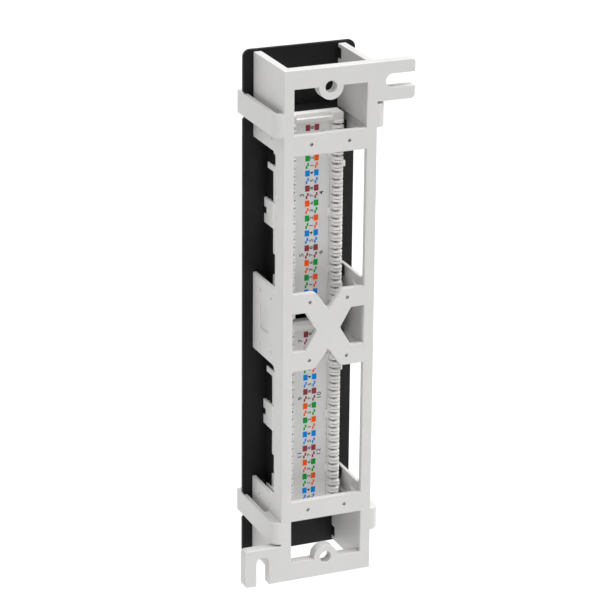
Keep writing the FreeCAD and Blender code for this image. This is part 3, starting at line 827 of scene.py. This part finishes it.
@dataclass
class PunchDownModule:
    """One module: its block, contacts, board and printed strip."""

    place: str
    first_port: int
    edge: float = 0.2 * MM
    segments: int = 2

    def build(self, plastic: bpy.types.Material, tin: bpy.types.Material, lacquer: bpy.types.Material,
              inks: dict[Ink, bpy.types.Material]) -> None:
        """Build and dress the module.

        Args:
            plastic: Material of the block.
            tin: Material of the forked contacts.
            lacquer: Material of the board.
            inks: Material of each ink.
        """
        block = round_edges(copy_of_node(f"punch_block_{self.place}", f"block_moulding_{self.place}"),
                            self.edge, self.segments)
        dress(block, plastic)
        seat(block, "block_white", f"punch_block_{self.place}")
        dress(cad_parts[f"circuit_board_{self.place}"], lacquer)
        for side in ("right", "left"):
            dress(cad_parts[f"punch_contacts_{self.place}_{side}"], tin)
        WiringStrip(self.place, self.first_port).build(inks)


@dataclass(frozen=True)
class SoftLamp:
    """One broad lamp, far from the panel."""

    name: str
    towards: tuple[float, float, float]
    strength: float
    spread: float = math.radians(60.0)

    def hang(self) -> None:
        """Hang the lamp."""
        lamp = bpy.data.lights.new(self.name, "SUN")
        lamp.energy = self.strength
        lamp.angle = self.spread
        light = bpy.data.objects.new(self.name, lamp)
        light.location = self.towards
        light.rotation_euler = Vector(self.towards).to_track_quat("Z", "Y").to_euler()
        bpy.context.scene.collection.objects.link(light)


@dataclass
class Studio:
    """Pale floor, soft lights and the photograph's camera."""

    eye: tuple[float, float, float] = (490.3 * MM, 1125.5 * MM, 464.6 * MM)
    target: tuple[float, float, float] = (6.04 * MM, -20.0 * MM, 8.38 * MM)
    roll: float = math.radians(0.511)
    lens: float = 169.5
    sensor: float = 36.0
    floor_height: float = -187.0 * MM
    floor_span: float = 12.0
    floor_light: tuple[float, float, float] = (0.75, 0.75, 0.75)
    floor_dark: tuple[float, float, float] = (0.73, 0.73, 0.73)
    floor_gloss: tuple[float, float] = (0.75, 0.85)
    floor_drift: float = 400.0 * MM
    floor_gloss_drift: float = 50.0 * MM
    sky: float = 0.06
    lamps: tuple[SoftLamp, ...] = (
        SoftLamp("top_right_lamp", (-0.6, 0.1, 1.0), 3.7),
        SoftLamp("top_left_lamp", (0.6, 0.1, 1.0), 1.2),
        SoftLamp("rear_lamp", (0.2, 1.0, 0.65), 0.62),
        SoftLamp("front_lamp", (0.2, -1.0, 0.4), 0.6),
    )

    def build(self) -> None:
        """Set up the floor, the lights and the camera."""
        bpy.context.scene.view_settings.view_transform = "Standard"
        self.lay_floor()
        self.light_sky()
        for lamp in self.lamps:
            lamp.hang()
        self.place_camera()

    def lay_floor(self) -> None:
        """Lay a pale floor under the panel."""
        bpy.ops.object.select_all(action="DESELECT")
        bpy.ops.mesh.primitive_plane_add(size=self.floor_span, location=(0.0, 0.0, self.floor_height))
        floor = bpy.context.active_object
        floor.name = "studio_floor"
        sketch = NodeSketch("pale_floor")
        tone = sketch.blend(sketch.noise(self.floor_drift), self.floor_dark, self.floor_light)
        sketch.wire(tone, "Base Color")
        sketch.wire(sketch.spread(sketch.noise(self.floor_gloss_drift), *self.floor_gloss), "Roughness")
        dress(floor, sketch.material)

    def light_sky(self) -> None:
        """Fill the studio with even white light."""
        world = bpy.data.worlds.new("studio_sky")
        world.use_nodes = True
        background = world.node_tree.nodes["Background"]
        background.inputs["Color"].default_value = (1.0, 1.0, 1.0, 1.0)
        background.inputs["Strength"].default_value = self.sky
        bpy.context.scene.world = world

    def place_camera(self) -> None:
        """Stand the camera where the photograph was taken from."""
        ahead = (Vector(self.target) - Vector(self.eye)).normalized()
        level = ahead.cross(Vector((0.0, 0.0, 1.0))).normalized()
        upright = level.cross(ahead)
        right = math.cos(self.roll) * level + math.sin(self.roll) * upright
        above = math.cos(self.roll) * upright - math.sin(self.roll) * level
        lens = bpy.data.cameras.new("photo_camera")
        lens.lens = self.lens
        lens.sensor_width = self.sensor
        camera = bpy.data.objects.new("photo_camera", lens)
        turn = Matrix((right, above, -ahead)).transposed().to_4x4()
        camera.matrix_world = Matrix.Translation(self.eye) @ turn
        bpy.context.scene.collection.objects.link(camera)
        bpy.context.scene.camera = camera


def main() -> None:
    """Build every sub-assembly and the studio."""
    logging.basicConfig(level=logging.INFO, format="%(name)s: %(message)s")
    inks = {ink: PrintInk(ink).material() for ink in PRINT_INKS}
    block_plastic = MouldedPlastic(
        "white_block_plastic", (0.860, 0.852, 0.832), (0.835, 0.827, 0.809), (0.38, 0.50)).material()
    tin = PlatedMetal("tinned_contact", (0.66, 0.64, 0.60), (0.52, 0.50, 0.47)).material()
    lacquer = SolderMask("board_lacquer").material()
    WallBracket().build()
    Faceplate().build()
    PortJacks().build()
    PunchDownModule("upper", first_port=1).build(block_plastic, tin, lacquer, inks)
    PunchDownModule("lower", first_port=7).build(block_plastic, tin, lacquer, inks)
    Studio().build()


if __name__ == "__main__":
    main()
